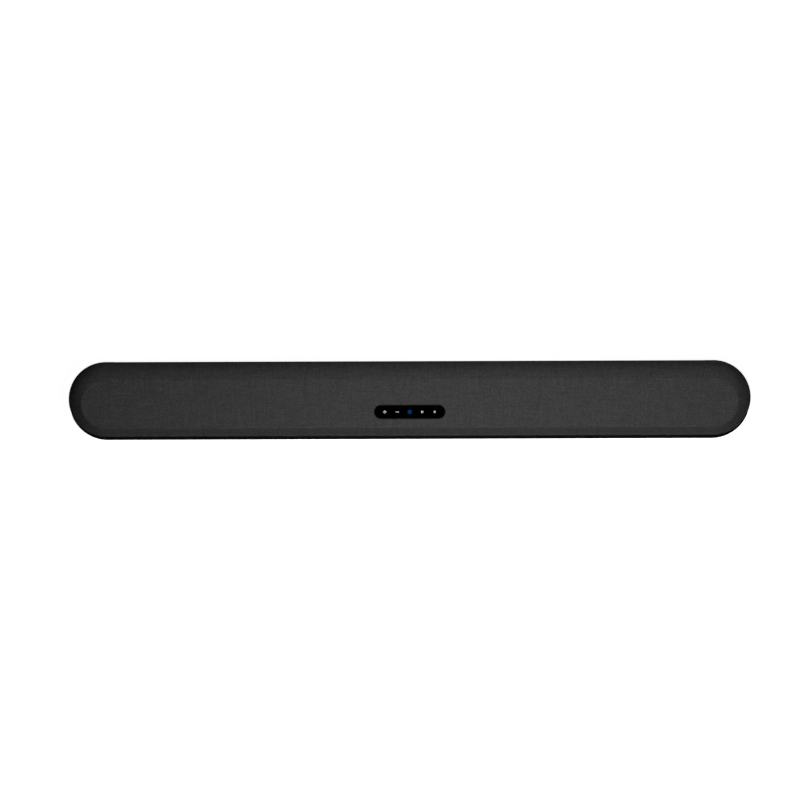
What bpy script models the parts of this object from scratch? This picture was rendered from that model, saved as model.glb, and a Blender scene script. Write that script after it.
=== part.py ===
"""A low fabric-covered soundbar, lying flat, built as an assembly of separate pieces.

Frame: origin on the floor under the middle of the bar, +X along its length, -Y is the front, +Z up.
Lengths in this script are millimetres, and add_part turns them into metres.
"""

import math

import bmesh
import bpy

MM = 0.001
GAP = 0.3  # clearance between touching pieces
BEYOND = 10.0  # how far a cutter runs past what it cuts

# Overall size
LENGTH = 980.0
DEPTH = 111.0
HEIGHT = 60.0

# Levels above the floor
TRAY_BOTTOM = 2.5
TRAY_TOP = 10.9
HEM_Z = TRAY_TOP + GAP
SHOULDER_Z = 40.0
FABRIC_TOP = 59.2

# Plans of the base and of the cover, both round-ended; the cover stands back in front
BASE_RADIUS = DEPTH / 2
BASE_X = LENGTH / 2 - BASE_RADIUS  # centre of each rounded end
FRONT_Y = 51.2  # the cover's straight front stands this far in front of the middle
REAR_Y = DEPTH / 2
END_RADIUS = (FRONT_Y + REAR_Y) / 2
END_X = LENGTH / 2 - END_RADIUS
END_Y = (REAR_Y - FRONT_Y) / 2
CREASE_RADIUS = 35.0
CREASE_Y = -6.2  # the flat top sits this far off the middle, towards the front
CREASE_SHIFT = 0.4  # how far the crease of an inner layer moves in, per unit of depth
ROUNDNESS = 3.0  # power of the curve from the crease down to the shoulder
REAR_FACET = 0.47  # share of the rear rim that is a plain slope; the front's rim is all slope
END_SEGMENTS = 20
RIM_STEPS = 6

# Layers of the cover, counted inwards
FABRIC_THICK = 0.8
FRAME_OUT = FABRIC_THICK + GAP
FRAME_THICK = 2.2
FRAME_IN = FRAME_OUT + FRAME_THICK

# Base tray
TRAY_INSET = 1.1
TRAY_WALL = 2.4
FLOOR_TOP = TRAY_BOTTOM + 2.4
TRIM_TURN = 78.0  # how far the front strip runs round each end, in degrees
TRIM_STEPS = 16

# Rear panel and what is let into it
PANEL_HALF = 424.5
PANEL_OUT = REAR_Y - FRAME_OUT
PANEL_THICK = 2.5
PANEL_IN = PANEL_OUT - PANEL_THICK
BAY_HALF = 100.0
BAY_OUTER = 104.0
BAY_LOW = 14.6
BAY_HIGH = 36.4
BAY_WALL = 2.0
BAY_FLOOR_Y = 35.0
KEYHOLE_X = 300.0
KEYHOLE_Z = 21.0
KEYHOLE_RADIUS = 4.6
KEYHOLE_SLOT = 4.8
KEYHOLE_RISE = 9.0

# Loudspeakers, behind one long baffle
BAFFLE_FRONT = 46.2
BAFFLE_THICK = 2.5
BAFFLE_TOP = 41.0
BAFFLE_HALF = 419.0
INSIDE_FLOOR = FLOOR_TOP + 0.5
DRIVER_Y = -44.2
DRIVER_Z = 23.2
WOOFER_X = (190.0, 300.0)
TWEETER_X = 385.0
BOX_INNER_X = 115.0
BOX_OUTER_X = 415.0
BOX_REAR_Y = 40.0
BOX_WALL = 1.8

# Touch panel and its lights
PANEL_LENGTH = 102.4
PANEL_WIDTH = 20.0
PANEL_Y = -18.5
PANEL_BOTTOM = 56.0
ICON_PITCH = 17.9
STATUS_RADIUS = 2.9
DOT_RADIUS = 1.6

# Circuit boards
BOARD_Z = 14.4
BOARD_THICK = 1.6
BOARD_REAR_Y = BAY_FLOOR_Y - BAY_WALL - GAP
BOARD_FRONT_Y = -38.0
BOARD_POST_X = (-96.0, -30.0, 20.0, 96.0)
BOARD_POST_Y = (-30.0, 25.0)

# Screws from the tray up into the frame's posts
SCREW_PLACES = ((-428, 0), (-110, -32), (-110, 28), (110, -32), (110, 28), (428, 0))
POST_RADIUS = 4.0
PILOT_RADIUS = 1.9
PILOT_TOP = 17.0

# Slots through the frame's front wall, on each side of the middle
SLOT_START = 140.0
SLOT_PITCH = 50.0
SLOT_COLUMNS = 6
SLOT_LENGTH = 44.0
SLOT_LOW = 15.0
SLOT_RISE = 6.0
SLOT_ROWS = 4
SLOT_HEIGHT = 3.6

# Rubber feet
FOOT_X = 390.0
FOOT_Y = 36.0

MATERIALS = {
    "fabric": ((0.045, 0.045, 0.047), 0.95, 0.0),
    "black_plastic": ((0.012, 0.012, 0.013), 0.55, 0.0),
    "trim_plastic": ((0.008, 0.008, 0.008), 0.4, 0.0),
    "gloss_panel": ((0.003, 0.003, 0.003), 0.06, 0.0),
    "blue_light": ((0.0, 0.09, 0.4), 0.3, 0.0),
    "white_light": ((0.8, 0.8, 0.8), 0.3, 0.0),
    "rubber": ((0.02, 0.02, 0.02), 0.85, 0.0),
    "paper_cone": ((0.03, 0.03, 0.03), 0.8, 0.0),
    "silk_dome": ((0.02, 0.02, 0.022), 0.6, 0.0),
    "stamped_steel": ((0.25, 0.25, 0.26), 0.45, 1.0),
    "ferrite": ((0.06, 0.06, 0.06), 0.6, 0.0),
    "circuit_board": ((0.01, 0.09, 0.04), 0.5, 0.0),
    "plated_steel": ((0.6, 0.6, 0.6), 0.3, 1.0),
    "aluminium": ((0.5, 0.5, 0.52), 0.4, 1.0),
    "winding_tape": ((0.5, 0.35, 0.05), 0.6, 0.0),
    "ribbon": ((0.5, 0.5, 0.48), 0.6, 0.0),
}


def clear_scene():
    for obj in list(bpy.data.objects):
        bpy.data.objects.remove(obj)


def get_material(name):
    if name in bpy.data.materials:
        return bpy.data.materials[name]
    colour, roughness, metallic = MATERIALS[name]
    mat = bpy.data.materials.new(name)
    mat.use_nodes = True
    shader = mat.node_tree.nodes["Principled BSDF"]
    shader.inputs["Base Color"].default_value = (*colour, 1.0)
    shader.inputs["Roughness"].default_value = roughness
    shader.inputs["Metallic"].default_value = metallic
    return mat


def add_part(name, shape, material, place=(0, 0, 0), faces_front=False):
    """Turn a bmesh in millimetres into a named object, with its origin at place.

    A piece that faces the front is drawn with its own +Z forwards and its own +Y up.
    """
    bmesh.ops.scale(shape, verts=shape.verts, vec=(MM, MM, MM))
    mesh = bpy.data.meshes.new(name)
    shape.to_mesh(mesh)
    shape.free()
    mesh.shade_smooth()
    mesh.set_sharp_from_angle(angle=math.radians(35))
    mesh.materials.append(get_material(material))
    obj = bpy.data.objects.new(name, mesh)
    obj.location = [MM * value for value in place]
    if faces_front:
        obj.rotation_euler = (math.radians(90), 0, 0)
    bpy.context.scene.collection.objects.link(obj)
    return obj


def add_copy(name, original, place):
    """Another object of the same shape, turned the same way."""
    obj = bpy.data.objects.new(name, original.data)
    obj.location = [MM * value for value in place]
    obj.rotation_euler = original.rotation_euler
    bpy.context.scene.collection.objects.link(obj)


# Shapes. Each of these returns a new closed bmesh.


def stadium(length, width, segments=10, centre=(0, 0)):
    """A slot outline along X, anticlockwise."""
    radius = width / 2
    reach = length / 2 - radius
    points = []
    for side, start in ((1, -90), (-1, 90)):
        for step in range(segments + 1):
            angle = math.radians(start + 180 * step / segments)
            x = centre[0] + side * reach + radius * math.cos(angle)
            points.append((x, centre[1] + radius * math.sin(angle)))
    return points


def circle(radius, segments=24, centre=(0, 0)):
    points = []
    for step in range(segments):
        angle = math.tau * step / segments
        points.append((centre[0] + radius * math.cos(angle), centre[1] + radius * math.sin(angle)))
    return points


def at_height(outline, z):
    return [(x, y, z) for x, y in outline]


def loft(rings, joined=False):
    """A body through rings of points, capped at both ends, or joined end to end as a tube."""
    shape = bmesh.new()
    loops = [[shape.verts.new(point) for point in ring] for ring in rings]
    pairs = list(zip(loops, loops[1:]))
    if joined:
        pairs.append((loops[-1], loops[0]))
    else:
        shape.faces.new(loops[0])
        shape.faces.new(loops[-1])
    for low, high in pairs:
        for index in range(len(low)):
            after = (index + 1) % len(low)
            shape.faces.new((low[index], low[after], high[after], high[index]))
    bmesh.ops.recalc_face_normals(shape, faces=shape.faces)
    return shape


def prism(outline, bottom, top):
    return loft([at_height(outline, bottom), at_height(outline, top)])


def side_prism(outline, left, right):
    """An outline of (y, z) points, drawn out along X."""
    return loft([[(x, y, z) for y, z in outline] for x in (left, right)])


def ring_prism(outer, inner, bottom, top):
    corners = ((outer, bottom), (outer, top), (inner, top), (inner, bottom))
    return loft([at_height(outline, z) for outline, z in corners], joined=True)


def turned(profile, segments=24, joined=False):
    """A body of revolution about Z from (radius, z) points."""
    return loft([at_height(circle(radius, segments), z) for radius, z in profile], joined)


def box(low, high):
    outline = [(low[0], low[1]), (high[0], low[1]), (high[0], high[1]), (low[0], high[1])]
    return prism(outline, low[2], high[2])


def merge(shapes):
    """Several separate bodies in one bmesh, for use as one cutter."""
    result = bmesh.new()
    for shape in shapes:
        mesh = bpy.data.meshes.new("piece")
        shape.to_mesh(mesh)
        shape.free()
        result.from_mesh(mesh)
        bpy.data.meshes.remove(mesh)
    return result


def combine(shape, tool, operation):
    """Boolean of two shapes, which are both used up."""
    pair = []
    for source in (shape, tool):
        mesh = bpy.data.meshes.new("shape")
        source.to_mesh(mesh)
        source.free()
        obj = bpy.data.objects.new("shape", mesh)
        bpy.context.scene.collection.objects.link(obj)
        pair.append(obj)
    modifier = pair[0].modifiers.new("combine", "BOOLEAN")
    modifier.operation = operation
    modifier.object = pair[1]
    result = bmesh.new()
    result.from_object(pair[0], bpy.context.evaluated_depsgraph_get())
    for obj in pair:
        mesh = obj.data
        bpy.data.objects.remove(obj)
        bpy.data.meshes.remove(mesh)
    bmesh.ops.remove_doubles(result, verts=result.verts, dist=0.0001)
    return result


def cut(shape, *tools):
    return combine(shape, merge(tools), "DIFFERENCE")


def fuse(shape, *tools):
    return combine(shape, merge(tools), "UNION")


# The cover: cloth stretched over a slotted plastic frame


def cover_stations():
    """Direction of each point round the plan: the end's centre, cosine and sine."""
    stations = []
    for side, start in ((1, -90), (-1, 90)):
        for step in range(END_SEGMENTS + 1):
            angle = math.radians(start + 180 * step / END_SEGMENTS)
            stations.append((side * END_X, math.cos(angle), math.sin(angle)))
    return stations


def facet_share(sine):
    """Share of the rim that is a plain slope, from all of it at the front to REAR_FACET at the rear."""
    return REAR_FACET + (1 - REAR_FACET) * (1 - sine) / 2


def cover_ring(depth, along, z=None):
    """One ring of the cover's surface, depth millimetres under the outside.

    along runs from 0 at the crease of the flat top to 1 at the shoulder.
    """
    radius = END_RADIUS - depth
    crease = CREASE_RADIUS - CREASE_SHIFT * depth
    top = FABRIC_TOP - depth
    points = []
    for centre, cosine, sine in cover_stations():
        outer = (centre + radius * cosine, END_Y + radius * sine)
        inner = (centre + crease * cosine, CREASE_Y + crease * sine)
        facet = facet_share(sine)
        fall = facet * along + (1 - facet) * along**ROUNDNESS
        x = inner[0] + (outer[0] - inner[0]) * along
        y = inner[1] + (outer[1] - inner[1]) * along
        height = top + (SHOULDER_Z - top) * fall if z is None else z
        points.append((x, y, height))
    return points


def cover_surface(depth, hem):
    """Rings from the hem up to the crease."""
    rings = [cover_ring(depth, 1.0, hem)]
    for step in range(RIM_STEPS + 1):
        rings.append(cover_ring(depth, math.sin(math.pi / 2 * (1 - step / RIM_STEPS))))
    return rings


def cover_shell(outside, inside, hem):
    """A cup of even thickness, open below, with the doorway for the rear panel cut out."""
    rings = cover_surface(inside, hem)[::-1] + cover_surface(outside, hem)
    reach = PANEL_HALF + GAP
    doorway = box((-reach, PANEL_IN - BEYOND, 0), (reach, REAR_Y + BEYOND, SHOULDER_Z))
    outline = stadium(PANEL_LENGTH + 2 * GAP, PANEL_WIDTH + 2 * GAP, centre=(0, PANEL_Y))
    return cut(loft(rings), doorway, prism(outline, FABRIC_TOP - BEYOND, HEIGHT + BEYOND))


def build_cover():
    add_part("fabric_cover", cover_shell(0, FABRIC_THICK, HEM_Z), "fabric")
    frame = cover_shell(FRAME_OUT, FRAME_IN, HEM_Z)
    frame = fuse(frame, *[screw_post(x, y) for x, y in SCREW_PLACES])
    frame = cut(frame, *sound_slots(), *[screw_hole(x, y) for x, y in SCREW_PLACES])
    add_part("grille_frame", frame, "black_plastic")


def screw_post(x, y):
    return prism(circle(POST_RADIUS, 12, (x, y)), INSIDE_FLOOR, FABRIC_TOP - FRAME_IN + FRAME_THICK / 4)


def screw_hole(x, y):
    return prism(circle(PILOT_RADIUS, 12, (x, y)), INSIDE_FLOOR - 1, PILOT_TOP)


def sound_slots():
    """Rows of slots through the frame's front wall, where the loudspeakers are."""
    slots = []
    for side in (-1, 1):
        for column in range(SLOT_COLUMNS):
            middle = side * (SLOT_START + SLOT_PITCH * column)
            for row in range(SLOT_ROWS):
                low = (middle - SLOT_LENGTH / 2, -FRONT_Y - BEYOND, SLOT_LOW + SLOT_RISE * row)
                high = (middle + SLOT_LENGTH / 2, -BAFFLE_FRONT, low[2] + SLOT_HEIGHT)
                slots.append(box(low, high))
    return slots


# The base: tray, front trim, feet and screws


def tray_outline(inset):
    """The cover's plan, brought in."""
    return stadium(LENGTH - 2 * inset, 2 * (END_RADIUS - inset), END_SEGMENTS, (0, END_Y))


def build_tray():
    inner = tray_outline(TRAY_INSET + TRAY_WALL)
    tray = prism(tray_outline(TRAY_INSET), TRAY_BOTTOM, TRAY_TOP)
    tray = cut(tray, prism(inner, FLOOR_TOP, TRAY_TOP + BEYOND))
    tray = fuse(tray, *[board_post(x, y) for x in BOARD_POST_X for y in BOARD_POST_Y])
    add_part("base_tray", cut(tray, *[sunk_hole(x, y) for x, y in SCREW_PLACES]), "black_plastic")


def board_post(x, y):
    return prism(circle(3, 8, (x, y)), FLOOR_TOP - 1, BOARD_Z - GAP)


def sunk_hole(x, y):
    """A stepped hole, for a screw whose head lies sunk in the tray's underside."""
    head = ((3.4, TRAY_BOTTOM - 1), (3.4, 3.9))
    shank = ((PILOT_RADIUS, 3.9), (PILOT_RADIUS, FLOOR_TOP + 1))
    hole = turned(head + shank, 12)
    bmesh.ops.translate(hole, verts=hole.verts, vec=(x, y, 0))
    return hole


def front_arc(radius, end_x, end_y):
    """Points round the left end, along the front and round the right end."""
    points = []
    for side in (-1, 1):
        for step in range(TRIM_STEPS + 1):
            share = step / TRIM_STEPS if side == 1 else 1 - step / TRIM_STEPS
            angle = math.radians(TRIM_TURN * share)
            points.append((side * (end_x + radius * math.sin(angle)), end_y - radius * math.cos(angle)))
    return points


def build_trim():
    """The strip along the foot of the front, which grows thin round each end."""
    outer = front_arc(BASE_RADIUS, BASE_X, 0)
    inner = front_arc(END_RADIUS - TRAY_INSET + GAP, END_X, END_Y)
    add_part("front_trim", prism(outer + inner[::-1], TRAY_BOTTOM, TRAY_TOP), "trim_plastic")


def build_feet():
    foot = None
    for side, end in ((-1, "left"), (1, "right")):
        for reach, edge in ((-1, "front"), (1, "rear")):
            name = f"foot_{edge}_{end}"
            place = (side * FOOT_X, reach * FOOT_Y, 0)
            if foot is None:
                outline = stadium(36, 14, 8)
                rings = [at_height(stadium(34.4, 12.4, 8), 0), at_height(outline, 0.8)]
                rings.append(at_height(outline, TRAY_BOTTOM - GAP))
                foot = add_part(name, loft(rings), "rubber", place)
            else:
                add_copy(name, foot, place)


def build_screws():
    screw = None
    for number, (x, y) in enumerate(SCREW_PLACES, 1):
        name = f"base_screw_{number}"
        if screw is None:
            head = [(2.4, 2.6), (3.0, 2.9), (3.0, 3.6), (1.5, 3.6), (1.5, 14.0)]
            screw = add_part(name, turned(head, 12), "plated_steel", (x, y, 0))
        else:
            add_copy(name, screw, (x, y, 0))


# The rear: panel, connector bay, sockets and keyholes


def keyhole_outline():
    """A round hole with a slot rising from it, as (x, z) about the round hole's centre."""
    half = KEYHOLE_SLOT / 2
    lean = math.asin(half / KEYHOLE_RADIUS)
    points = []
    for step in range(13):
        angle = math.pi / 2 + lean + (math.tau - 2 * lean) * step / 12
        points.append((KEYHOLE_RADIUS * math.cos(angle), KEYHOLE_RADIUS * math.sin(angle)))
    for step in range(7):
        angle = math.pi * step / 6
        points.append((half * math.cos(angle), KEYHOLE_RISE + half * math.sin(angle)))
    return points


def rear_prism(outline, front, rear):
    """An outline of (x, z) points, drawn out along Y."""
    return loft([[(x, y, z) for x, z in outline] for y in (front, rear)])


def build_rear_panels():
    """A flat panel on each side of the connector bay."""
    for side, end in ((-1, "left"), (1, "right")):
        left, right = sorted((side * (BAY_OUTER + GAP), side * PANEL_HALF))
        panel = box((left, PANEL_IN, HEM_Z), (right, PANEL_OUT, SHOULDER_Z - GAP))
        outline = [(side * KEYHOLE_X + x, KEYHOLE_Z + z) for x, z in keyhole_outline()]
        hole = rear_prism(outline, PANEL_IN - BEYOND, PANEL_OUT + BEYOND)
        add_part(f"rear_panel_{end}", cut(panel, hole), "black_plastic")
        build_keyhole_cup(f"keyhole_cup_{end}", side * KEYHOLE_X)


def build_keyhole_cup(name, x):
    """The pocket behind a keyhole, where the wall screw's head sits."""
    rear = PANEL_IN - GAP
    cup = box((x - 10, rear - 9.5, 14), (x + 10, rear, 36))
    inside = box((x - 8.5, rear - 8, 15.5), (x + 8.5, rear + BEYOND, 34.5))
    add_part(name, cut(cup, inside), "stamped_steel")


# Each socket: its middle along X, outer width and height, mouth width and height, and depth of the mouth
SOCKETS = {
    "hdmi_port_left": (10, 16.4, 7.4, 14.2, 4.9, 11),
    "hdmi_port_right": (34, 16.4, 7.4, 14.2, 4.9, 11),
    "usb_port": (58, 14.8, 7.6, 12.6, 5.3, 11),
    "optical_port": (80, 10.0, 10.0, 6.2, 6.2, 9),
    "mains_inlet": (-72, 24.0, 16.0, 17.0, 9.4, 11.5),
}
SOCKET_FRONT = 20.0
SOCKET_REAR = BAY_FLOOR_Y + 0.4
SOCKET_LOW = BOARD_Z + BOARD_THICK + GAP


def socket_height(name):
    return SOCKET_LOW + SOCKETS[name][2] / 2


def build_bay():
    """A deep pocket flush with the panels beside it, with a window in its floor for each socket."""
    low = (-BAY_OUTER, BAY_FLOOR_Y - BAY_WALL, HEM_Z)
    bay = box(low, (BAY_OUTER, PANEL_OUT, SHOULDER_Z - GAP))
    bay = cut(bay, box((-BAY_HALF, BAY_FLOOR_Y, BAY_LOW), (BAY_HALF, PANEL_OUT + BEYOND, BAY_HIGH)))
    windows = []
    for middle, width, height, *_ in SOCKETS.values():
        half = width / 2 + GAP
        low = (middle - half, SOCKET_FRONT, SOCKET_LOW - GAP)
        windows.append(box(low, (middle + half, BAY_FLOOR_Y + 1, SOCKET_LOW + height + GAP)))
    add_part("connector_bay", cut(bay, *windows), "black_plastic")


def build_sockets():
    for name, (middle, width, height, mouth_w, mouth_h, depth) in SOCKETS.items():
        level = socket_height(name)
        half = width / 2
        low = (middle - half, SOCKET_FRONT, SOCKET_LOW)
        body = box(low, (middle + half, SOCKET_REAR, SOCKET_LOW + height))
        bottom = SOCKET_REAR - depth
        beyond = SOCKET_REAR + BEYOND
        if name == "mains_inlet":
            mouth = [(middle + x, level + z) for x, z in stadium(mouth_w, mouth_h, 8)]
            body = cut(body, rear_prism(mouth, bottom, beyond))
            pins = []
            for side in (-1, 1):
                outline = [(middle + 4.3 * side + x, level + z) for x, z in circle(1.2, 8)]
                pins.append(rear_prism(outline, bottom - 1, bottom + 6.5))
            body = fuse(body, *pins)
        else:
            w = mouth_w / 2
            h = mouth_h / 2
            body = cut(body, box((middle - w, bottom, level - h), (middle + w, beyond, level + h)))
        plastic = name in ("mains_inlet", "optical_port")
        add_part(name, body, "black_plastic" if plastic else "plated_steel")


# The electronics in the middle


def build_boards():
    top = BOARD_Z + BOARD_THICK
    for name, left, right in (("main_board", -10, 102), ("power_board", -102, -14)):
        board = box((left, BOARD_FRONT_Y, BOARD_Z), (right, BOARD_REAR_Y, top))
        add_part(name, board, "circuit_board")
    low = top + GAP
    core = cut(
        box((-70, -26, low), (-34, 6, low + 24)),
        box((-64, -30, low + 5), (-60, 10, low + 19)),
        box((-44, -30, low + 5), (-40, 10, low + 19)),
    )
    add_part("transformer", core, "winding_tape")
    capacitor = [(8, low), (8, low + 24), (7.2, low + 25)]
    add_part("reservoir_capacitor", turned(capacitor, 16), "aluminium", (-86, -18, 0))
    comb = [(-26, low), (4, low)]
    for fin in range(6):
        y = 4 - 6 * fin
        comb += [(y, low + 18), (y - 2, low + 18)]
        if fin < 5:
            comb += [(y - 2, low + 4), (y - 6, low + 4)]
    comb[-1] = (-28, low + 18)
    comb[0] = (-28, low)
    add_part("heat_sink", side_prism(comb, 56, 92), "aluminium")


# The touch panel and what is under it


def build_touch_panel():
    def shape(length, width):
        return stadium(length, width, 12, (0, PANEL_Y))

    rings = [
        at_height(shape(PANEL_LENGTH, PANEL_WIDTH), PANEL_BOTTOM),
        at_height(shape(PANEL_LENGTH, PANEL_WIDTH), HEIGHT - 0.5),
        at_height(shape(PANEL_LENGTH - 0.3, PANEL_WIDTH - 0.3), HEIGHT - 0.15),
        at_height(shape(PANEL_LENGTH - 1, PANEL_WIDTH - 1), HEIGHT),
    ]
    lights = (
        ("status_light", 0, STATUS_RADIUS, "blue_light"),
        ("dot_light_inner", 1, DOT_RADIUS, "white_light"),
        ("dot_light_outer", 2, DOT_RADIUS, "white_light"),
    )
    tools = []
    for name, step, radius, material in lights:
        place = (step * ICON_PITCH, PANEL_Y)
        tools.append(prism(circle(radius + 0.2, 24, place), PANEL_BOTTOM - BEYOND, HEIGHT + BEYOND))
        add_part(name, prism(circle(radius, 24, place), PANEL_BOTTOM - 1.5, HEIGHT), material)
    add_part("touch_panel", cut(loft(rings), *tools), "gloss_panel")
    under = FABRIC_TOP - FRAME_IN - GAP
    gasket = ring_prism(shape(112, 29), shape(92, 11), under - 1.2, under)
    add_part("touch_gasket", gasket, "rubber")
    board_top = under - 1.2 - GAP
    board = box((-57, PANEL_Y - 14.5, board_top - 1.2), (57, PANEL_Y + 14.5, board_top))
    add_part("touch_board", board, "circuit_board")
    bottom = BOARD_Z + BOARD_THICK + GAP
    ribbon = box((30, PANEL_Y - 0.3, bottom), (46, PANEL_Y + 0.3, board_top - 1.2 - GAP))
    add_part("ribbon_cable", ribbon, "ribbon")


# The loudspeakers. Each is drawn facing its own +Z, with z = 0 at the rear edge of its cone.


def woofer_basket():
    profile = ((-15, -11.7), (15, -11.7), (40, -1.5), (-40, -1.5))
    rails = loft([[(x, y, z) for x, z in profile] for y in (-12.5, 12.5)])
    rails = cut(rails, box((-60, -10.5, -10), (60, 10.5, 5)))
    flange = prism(stadium(96, 31), -2.6, -0.8)
    body = fuse(rails, flange)
    return cut(body, prism(stadium(78, 18), -6, 1), prism(circle(8), -14, -8))


def woofer_magnet():
    return turned([(12.4, -22), (12.4, -12), (6.4, -12), (6.4, -16.2), (3.9, -16.2), (3.9, -11.4)], 20)


def woofer_cone():
    former_in = stadium(9.4, 8.8, 8)
    former_out = stadium(11.0, 10.4, 8)
    edge = stadium(75.4, 15.4, 8)
    rings = [
        at_height(former_in, -7.6),
        at_height(former_in, -13),
        at_height(former_out, -13),
        at_height(former_out, -8.2),
        at_height(edge, 0),
        at_height(edge, 0.8),
        at_height(stadium(14, 11.4, 8), -6.4),
        at_height(stadium(10, 7.4, 8), -4.9),
        at_height(stadium(5, 3.4, 8), -4.3),
    ]
    return loft(rings)


def woofer_surround():
    rings = []
    roll = ((87.4, -0.5), (87.4, 0.3), (84.6, 1.3), (81.8, 1.7), (79, 1.3), (76.2, 0.3), (76.2, -0.5))
    for length, z in roll:
        rings.append(at_height(stadium(length, length - 60, 8), z))
    return loft(rings, joined=True)


def tweeter_housing():
    return turned([(13, -14), (13, -2.6), (16, -2.6), (16, -0.8), (12.8, -0.8), (12.8, -4)], 24)


def tweeter_dome():
    return turned([(3, 0.9), (8, 0), (11.5, -2.4), (12.3, -2.4), (8.6, 0.6), (3, 1.6)], 24)


def build_loudspeakers():
    pieces = (
        ("woofer_basket", woofer_basket, "stamped_steel"),
        ("woofer_magnet", woofer_magnet, "ferrite"),
        ("woofer_surround", woofer_surround, "rubber"),
        ("woofer_cone", woofer_cone, "paper_cone"),
    )
    places = {
        "left_outer": -WOOFER_X[1],
        "left_inner": -WOOFER_X[0],
        "right_inner": WOOFER_X[0],
        "right_outer": WOOFER_X[1],
    }
    build_drivers(pieces, places)
    pieces = (
        ("tweeter_housing", tweeter_housing, "black_plastic"),
        ("tweeter_dome", tweeter_dome, "silk_dome"),
    )
    build_drivers(pieces, {"left": -TWEETER_X, "right": TWEETER_X})
    build_baffle()
    for side, end in ((-1, "left"), (1, "right")):
        build_speaker_box(f"speaker_box_{end}", side)


def build_drivers(pieces, places):
    for kind, shape, material in pieces:
        first = None
        for where, x in places.items():
            name = f"{kind}_{where}"
            place = (x, DRIVER_Y, DRIVER_Z)
            if first is None:
                first = add_part(name, shape(), material, place, faces_front=True)
            else:
                add_copy(name, first, place)


def build_baffle():
    low = (-BAFFLE_HALF, -BAFFLE_FRONT, INSIDE_FLOOR)
    baffle = box(low, (BAFFLE_HALF, BAFFLE_THICK - BAFFLE_FRONT, BAFFLE_TOP))
    outlines = []
    for side in (-1, 1):
        for x in WOOFER_X:
            outlines.append(stadium(88, 28, centre=(side * x, DRIVER_Z)))
        outlines.append(circle(13.6, centre=(side * TWEETER_X, DRIVER_Z)))
    tools = [rear_prism(outline, -BAFFLE_FRONT - BEYOND, BEYOND - BAFFLE_FRONT) for outline in outlines]
    add_part("front_baffle", cut(baffle, *tools), "black_plastic")


def build_speaker_box(name, side):
    """A box with no front: the baffle closes it."""
    left, right = sorted((side * BOX_INNER_X, side * BOX_OUTER_X))
    front = BAFFLE_THICK + GAP - BAFFLE_FRONT
    body = box((left, front, INSIDE_FLOOR), (right, BOX_REAR_Y, BAFFLE_TOP))
    inside = box(
        (left + BOX_WALL, front - BEYOND, INSIDE_FLOOR + BOX_WALL),
        (right - BOX_WALL, BOX_REAR_Y - BOX_WALL, BAFFLE_TOP - BOX_WALL),
    )
    add_part(name, cut(body, inside), "black_plastic")


def build_soundbar():
    clear_scene()
    build_cover()
    build_tray()
    build_trim()
    build_feet()
    build_screws()
    build_rear_panels()
    build_bay()
    build_sockets()
    build_boards()
    build_touch_panel()
    build_loudspeakers()


build_soundbar()
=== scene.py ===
"""The soundbar's looks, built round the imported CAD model.

Frame: metres, origin on the floor under the middle of the bar, +X along its length, -Y the front, +Z up.
"""
import math
from functools import partial

import bmesh
import bpy
from mathutils import Euler, Matrix, Vector


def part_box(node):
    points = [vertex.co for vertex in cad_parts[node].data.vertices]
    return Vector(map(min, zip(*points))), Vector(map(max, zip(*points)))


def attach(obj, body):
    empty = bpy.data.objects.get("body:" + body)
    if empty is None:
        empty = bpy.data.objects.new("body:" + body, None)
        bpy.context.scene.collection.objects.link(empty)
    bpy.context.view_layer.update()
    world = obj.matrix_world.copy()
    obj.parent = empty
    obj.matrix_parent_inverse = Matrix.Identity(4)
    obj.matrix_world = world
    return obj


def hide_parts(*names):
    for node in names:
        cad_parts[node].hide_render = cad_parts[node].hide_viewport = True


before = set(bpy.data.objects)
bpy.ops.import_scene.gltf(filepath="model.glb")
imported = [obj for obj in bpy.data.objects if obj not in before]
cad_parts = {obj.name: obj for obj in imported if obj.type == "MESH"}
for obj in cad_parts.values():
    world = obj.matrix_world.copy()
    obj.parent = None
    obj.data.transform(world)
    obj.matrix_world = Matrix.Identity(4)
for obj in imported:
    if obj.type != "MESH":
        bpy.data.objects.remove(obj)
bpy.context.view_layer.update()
MM = 0.001
BEYOND = 10 * MM  # how far a cutter runs past what it cuts
CABINET = "cabinet"

# The cover's plan and levels, from its CAD node
COVER_LOW, COVER_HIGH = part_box("fabric_cover")
FRONT_Y = -COVER_LOW.y
REAR_Y = COVER_HIGH.y
END_RADIUS = (FRONT_Y + REAR_Y) / 2
END_X = COVER_HIGH.x - END_RADIUS
END_Y = (REAR_Y - FRONT_Y) / 2
HEM_Z = COVER_LOW.z
FABRIC_TOP = COVER_HIGH.z
SHOULDER_Z = 40.0 * MM
CREASE_RADIUS = 35.0 * MM
CREASE_Y = -6.2 * MM
ROUNDNESS = 3.0  # power of the curve from the crease down to the shoulder
REAR_FACET = 0.47  # share of the rear rim that is a plain slope; the front's rim is all slope
CLOTH_THICK = 0.8 * MM
CLOTH_GAP = 0.3 * MM
DOORWAY_DEEP = 16 * MM

# How finely the cover is drawn
END_STEPS = 56
STRAIGHT_STEPS = 48
RIM_STEPS = 14
FILLET_STEPS = 4
TOP_RINGS = (0.06, 0.2, 0.35, 0.5, 0.65, 0.8, 0.92)  # shares of the crease's radius
WALL_RINGS = (0.25, 0.5, 0.75, 1.0)  # shares of the way from the shoulder to the hem
CREASE_FILLET = 1.1 * MM
SHOULDER_FILLET = 0.9 * MM
LEDGE_WIDTH = 1.6 * MM  # a steeper band along the rim's outer edge, at the front only
LEDGE_SLOPE = math.radians(48)
LEDGE_FILLET = 0.35 * MM
LEDGE_FADE = 8

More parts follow.
